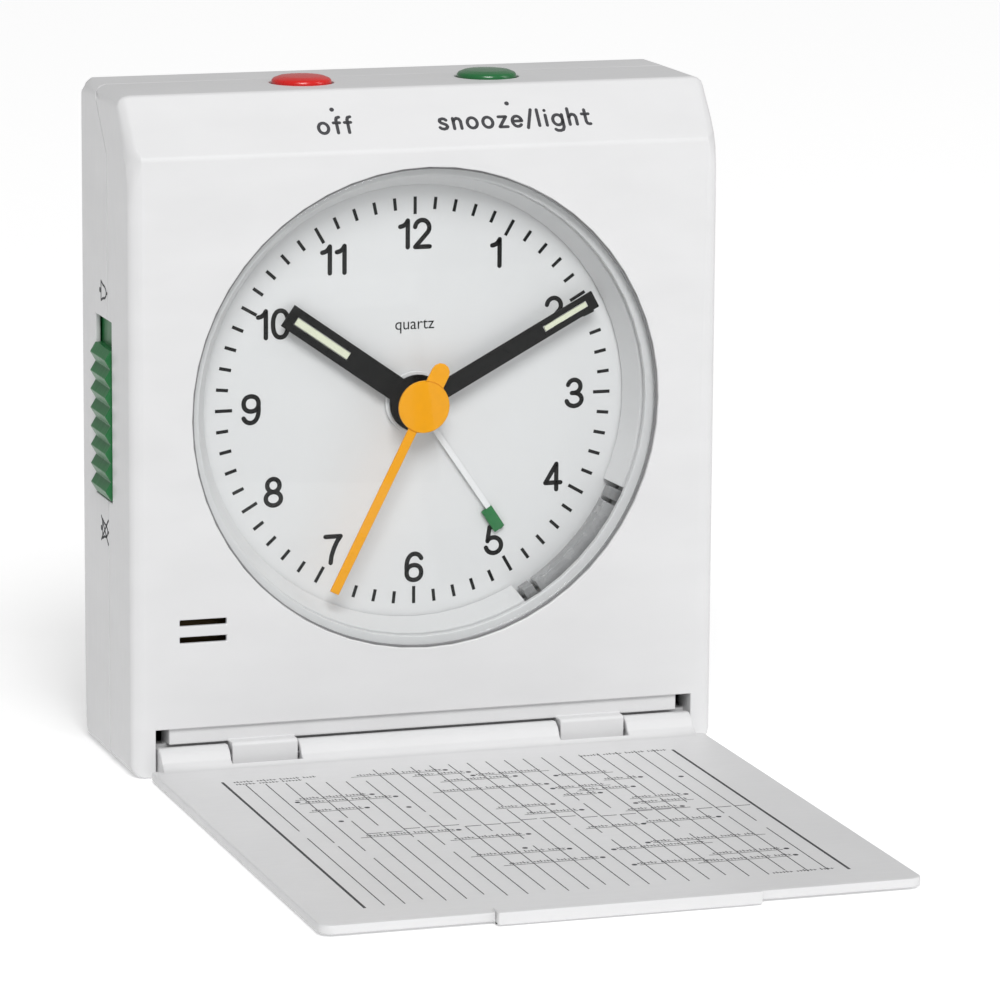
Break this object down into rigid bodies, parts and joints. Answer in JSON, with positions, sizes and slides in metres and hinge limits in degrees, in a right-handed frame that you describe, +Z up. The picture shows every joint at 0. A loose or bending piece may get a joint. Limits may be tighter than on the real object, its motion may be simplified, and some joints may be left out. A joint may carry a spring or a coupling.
{
  "type": "travel alarm clock",
  "caption": "Small battery alarm clock with round dial, four hands, top buttons, side slide switch and a front cover that folds down and swings up over the dial.",
  "frame": {"origin": "centre of the case's flat bottom", "axes": "+Z up, -Y out of the dial, +X to the right seen from the front"},
  "size_m": [0.0768, 0.1018, 0.0849],
  "materials": {
    "white_plastic": "fine matt",
    "clear_plastic": "clear, polished",
    "dial_paint": "matt white",
    "white_paint": "satin white with a green tip",
    "black_paint": "satin black",
    "luminous_paint": "matt",
    "yellow_paint": "satin",
    "red_plastic": "glossy",
    "green_plastic": "satin",
    "lamp_yellow": "clear amber",
    "grey_plastic": "translucent grey",
    "natural_plastic": "moulded, satin",
    "steel": "bright",
    "copper_winding": "enamelled wire",
    "board": "satin",
    "magnet": "matt",
    "black_plastic": "matt",
    "brass": "plain",
    "cell_jacket": "glossy wrap"
  },
  "bodies": {
    "case": {"front_housing": "white_plastic", "rear_housing": "white_plastic", "case_screw_1": "steel", "case_screw_2": "steel", "case_screw_3": "steel", "case_screw_4": "steel", "lens": "clear_plastic", "bezel_ring": "white_plastic", "led_upper": "lamp_yellow", "led_lower": "lamp_yellow", "light_guide": "grey_plastic", "dial_plate": "dial_paint", "movement_front_plate": "natural_plastic", "movement_rear_plate": "natural_plastic", "circuit_board": "board", "stator": "steel", "coil_core": "steel", "coil_winding": "copper_winding", "buzzer_cup": "black_plastic", "buzzer_disc": "brass", "battery_box": "natural_plastic", "battery_cell": "cell_jacket", "contact_positive": "steel", "contact_negative": "steel", "hinge_pin_left": "steel", "hinge_pin_right": "steel", "snooze_switch": "black_plastic", "snooze_spring": "steel"},
    "cover": {"cover": "white_plastic"},
    "alarm_slider": {"alarm_slider": "green_plastic", "alarm_link": "natural_plastic"},
    "off_button": {"off_button": "red_plastic"},
    "snooze_button": {"snooze_button": "green_plastic"},
    "third_wheel": {"third_wheel": "natural_plastic"},
    "second_hand": {"second_hand": "yellow_paint", "second_wheel": "natural_plastic"},
    "minute_hand": {"minute_hand": "black_paint", "minute_insert": "luminous_paint", "centre_wheel": "natural_plastic"},
    "time_setter": {"minute_wheel": "natural_plastic", "time_knob": "white_plastic"},
    "hour_hand": {"hour_hand": "black_paint", "hour_insert": "luminous_paint", "hour_wheel": "natural_plastic"},
    "intermediate_wheel": {"intermediate_wheel": "natural_plastic"},
    "rotor": {"rotor": "magnet"},
    "alarm_setter": {"alarm_shaft": "natural_plastic", "alarm_knob": "white_plastic"},
    "alarm_hand": {"alarm_hand": "white_paint", "alarm_wheel": "natural_plastic"},
    "battery_door": {"battery_door": "white_plastic"}
  },
  "joints": [
    {"name": "cover_hinge", "type": "hinge", "parent": "case", "child": "cover", "pos_m": [0, -0.0124, 0.00205], "axis": [-1, 0, 0], "range_deg": [0, 90]},
    {"name": "alarm_slider_slide", "type": "slide", "parent": "case", "child": "alarm_slider", "axis": [0, 0, 1], "range_m": [0, 0.0033]},
    {"name": "off_button_slide", "type": "slide", "parent": "case", "child": "off_button", "axis": [0, 0, 1], "range_m": [0, 0.0033]},
    {"name": "snooze_button_press", "type": "slide", "parent": "case", "child": "snooze_button", "axis": [0, 0, -1], "range_m": [0, 0.0008], "stiffness_N_per_m": 400, "springref_m": -0.001, "deforming": ["snooze_spring"]},
    {"name": "third_wheel_turn", "type": "hinge", "parent": "case", "child": "third_wheel", "pos_m": [-0.00425, 0, 0.05186], "axis": [0, 1, 0], "continuous": true},
    {"name": "second_hand_turn", "type": "hinge", "parent": "case", "child": "second_hand", "pos_m": [0, 0, 0.0445], "axis": [0, 1, 0], "continuous": true},
    {"name": "minute_hand_turn", "type": "hinge", "parent": "case", "child": "minute_hand", "pos_m": [0, 0, 0.0445], "axis": [0, 1, 0], "continuous": true},
    {"name": "time_setter_turn", "type": "hinge", "parent": "case", "child": "time_setter", "pos_m": [-0.00846, 0, 0.04142], "axis": [0, 1, 0], "continuous": true},
    {"name": "hour_hand_turn", "type": "hinge", "parent": "case", "child": "hour_hand", "pos_m": [0, 0, 0.0445], "axis": [0, 1, 0], "continuous": true},
    {"name": "intermediate_wheel_turn", "type": "hinge", "parent": "case", "child": "intermediate_wheel", "pos_m": [0.0054, 0, 0.05093], "axis": [0, 1, 0], "continuous": true},
    {"name": "rotor_turn", "type": "hinge", "parent": "case", "child": "rotor", "pos_m": [0.01198, 0, 0.05333], "axis": [0, 1, 0], "continuous": true},
    {"name": "alarm_knob_turn", "type": "hinge", "parent": "case", "child": "alarm_setter", "pos_m": [0.00855, 0, 0.04139], "axis": [0, 1, 0], "continuous": true},
    {"name": "alarm_hand_turn", "type": "hinge", "parent": "case", "child": "alarm_hand", "pos_m": [0, 0, 0.0445], "axis": [0, 1, 0], "continuous": true},
    {"name": "battery_door_pull", "type": "slide", "parent": "case", "child": "battery_door", "axis": [0, 1, 0], "range_m": [0, 0.02]}
  ],
  "couplings": [
    {"joint": "off_button_slide", "follows": "alarm_slider_slide", "ratio": 1},
    {"joint": "second_hand_turn", "follows": "third_wheel_turn", "ratio": -7.5},
    {"joint": "minute_hand_turn", "follows": "third_wheel_turn", "ratio": -0.125},
    {"joint": "time_setter_turn", "follows": "third_wheel_turn", "ratio": 0.041667},
    {"joint": "hour_hand_turn", "follows": "third_wheel_turn", "ratio": -0.010417},
    {"joint": "intermediate_wheel_turn", "follows": "third_wheel_turn", "ratio": 37.5},
    {"joint": "rotor_turn", "follows": "third_wheel_turn", "ratio": -225},
    {"joint": "alarm_hand_turn", "follows": "alarm_knob_turn", "ratio": -0.33333}
  ]
}
